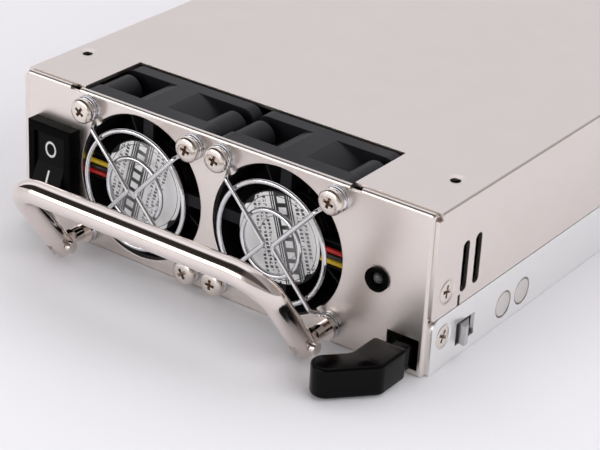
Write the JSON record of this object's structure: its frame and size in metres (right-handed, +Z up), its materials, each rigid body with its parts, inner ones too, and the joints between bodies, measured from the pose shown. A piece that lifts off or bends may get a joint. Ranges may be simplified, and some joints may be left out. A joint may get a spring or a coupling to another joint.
{
  "type": "hot swap server power supply",
  "caption": "Slim hot swap power supply in a folded steel case, with guarded fans, a bail handle, a rocker switch, a thumb latch and a rear docking connector.",
  "frame": {"origin": "centre of the case's underside", "axes": "+Y from the front panel to the rear, +Z up, +X to the right as seen from the front"},
  "size_m": [0.1214, 0.2368, 0.0402],
  "materials": {
    "satin_nickel": "satin nickel plate",
    "bright_nickel": "bright rolled steel",
    "zinc_steel": "zinc plate",
    "nickel_screws": "polished nickel",
    "chrome_rod": "polished chrome",
    "black_gloss": "moulded gloss",
    "black_moulding": "moulded satin",
    "rocker_black": "semi gloss",
    "lens_grey": "clear grey",
    "label_film": "printed film",
    "ferrite": "pressed ferrite",
    "copper": "enamelled wire",
    "brass": "plated",
    "green_board": "solder mask",
    "black_sleeve": "shrunk sleeve",
    "blue_sleeve": "shrunk sleeve",
    "yellow_case": "moulded case",
    "white_nylon": "nylon",
    "tape_yellow": "wound tape",
    "film_black": "plastic film",
    "extruded_aluminium": "extruded",
    "red_insulation": "extruded sleeve",
    "black_insulation": "extruded sleeve",
    "yellow_insulation": "extruded sleeve",
    "ceramic": "glazed"
  },
  "bodies": {
    "chassis": {"base_tray": "satin_nickel", "front_panel": "satin_nickel", "top_cover": "satin_nickel", "latch_rail": "bright_nickel", "case_screws": "nickel_screws", "rail_rivets": "nickel_screws", "latch_bracket": "zinc_steel", "latch_pin": "zinc_steel", "fan_1_frame": "black_moulding", "fan_2_frame": "black_moulding", "fan_1_stator": "copper", "fan_2_stator": "copper", "fan_1_guard": "chrome_rod", "fan_2_guard": "chrome_rod", "fan_bearings": "brass", "fan_labels": "label_film", "guard_screws": "nickel_screws", "guard_washers": "nickel_screws", "handle_posts": "chrome_rod", "handle_pins": "nickel_screws", "switch_housing": "black_moulding", "switch_terminals": "brass", "lamp_clip": "black_moulding", "status_lamp": "lens_grey", "fan_leads_red": "red_insulation", "fan_leads_black": "black_insulation", "fan_leads_yellow": "yellow_insulation", "lead_plugs": "white_nylon", "board_headers": "white_nylon", "main_board": "green_board", "board_standoffs": "brass", "board_screws": "zinc_steel", "insulation_film": "film_black", "primary_heat_sink": "extruded_aluminium", "secondary_heat_sink": "extruded_aluminium", "power_transistors": "black_moulding", "output_rectifiers": "black_moulding", "bulk_capacitors": "black_sleeve", "output_capacitors": "blue_sleeve", "film_capacitors": "yellow_case", "transformer_core": "ferrite", "transformer_winding": "tape_yellow", "choke_core": "ferrite", "choke_winding": "copper", "output_inductor": "copper", "control_board": "green_board", "line_fuse": "ceramic", "docking_connector": "black_moulding", "docking_blades": "brass"},
    "handle": {"carry_handle": "chrome_rod"},
    "latch": {"latch_arm": "zinc_steel", "latch_tab": "black_gloss", "latch_spring": "zinc_steel"},
    "rocker": {"rocker_button": "rocker_black"},
    "fan_1_rotor": {"fan_1_impeller": "black_moulding", "fan_1_magnet": "ferrite", "fan_1_shaft": "zinc_steel"},
    "fan_2_rotor": {"fan_2_impeller": "black_moulding", "fan_2_magnet": "ferrite", "fan_2_shaft": "zinc_steel"}
  },
  "joints": [
    {"name": "handle_swing", "type": "hinge", "parent": "chassis", "child": "handle", "pos_m": [-0.0024, -0.1107, 0.0041], "axis": [1, 0, 0], "range_deg": [-42, 54]},
    {"name": "latch_press", "type": "hinge", "parent": "chassis", "child": "latch", "pos_m": [0.0533, -0.06305, 0.0057], "axis": [0, 0, -1], "range_deg": [0, 4.5], "stiffness_Nm_per_rad": 0.6, "springref_deg": -8.59},
    {"name": "power_rocker", "type": "hinge", "parent": "chassis", "child": "rocker", "pos_m": [-0.0485, -0.101, 0.0189], "axis": [1, 0, 0], "range_deg": [0, 22]},
    {"name": "fan_1_spin", "type": "hinge", "parent": "chassis", "child": "fan_1_rotor", "pos_m": [-0.02255, -0.089, 0.0201], "axis": [0, 1, 0], "continuous": true},
    {"name": "fan_2_spin", "type": "hinge", "parent": "chassis", "child": "fan_2_rotor", "pos_m": [0.01775, -0.089, 0.0201], "axis": [0, 1, 0], "continuous": true}
  ]
}
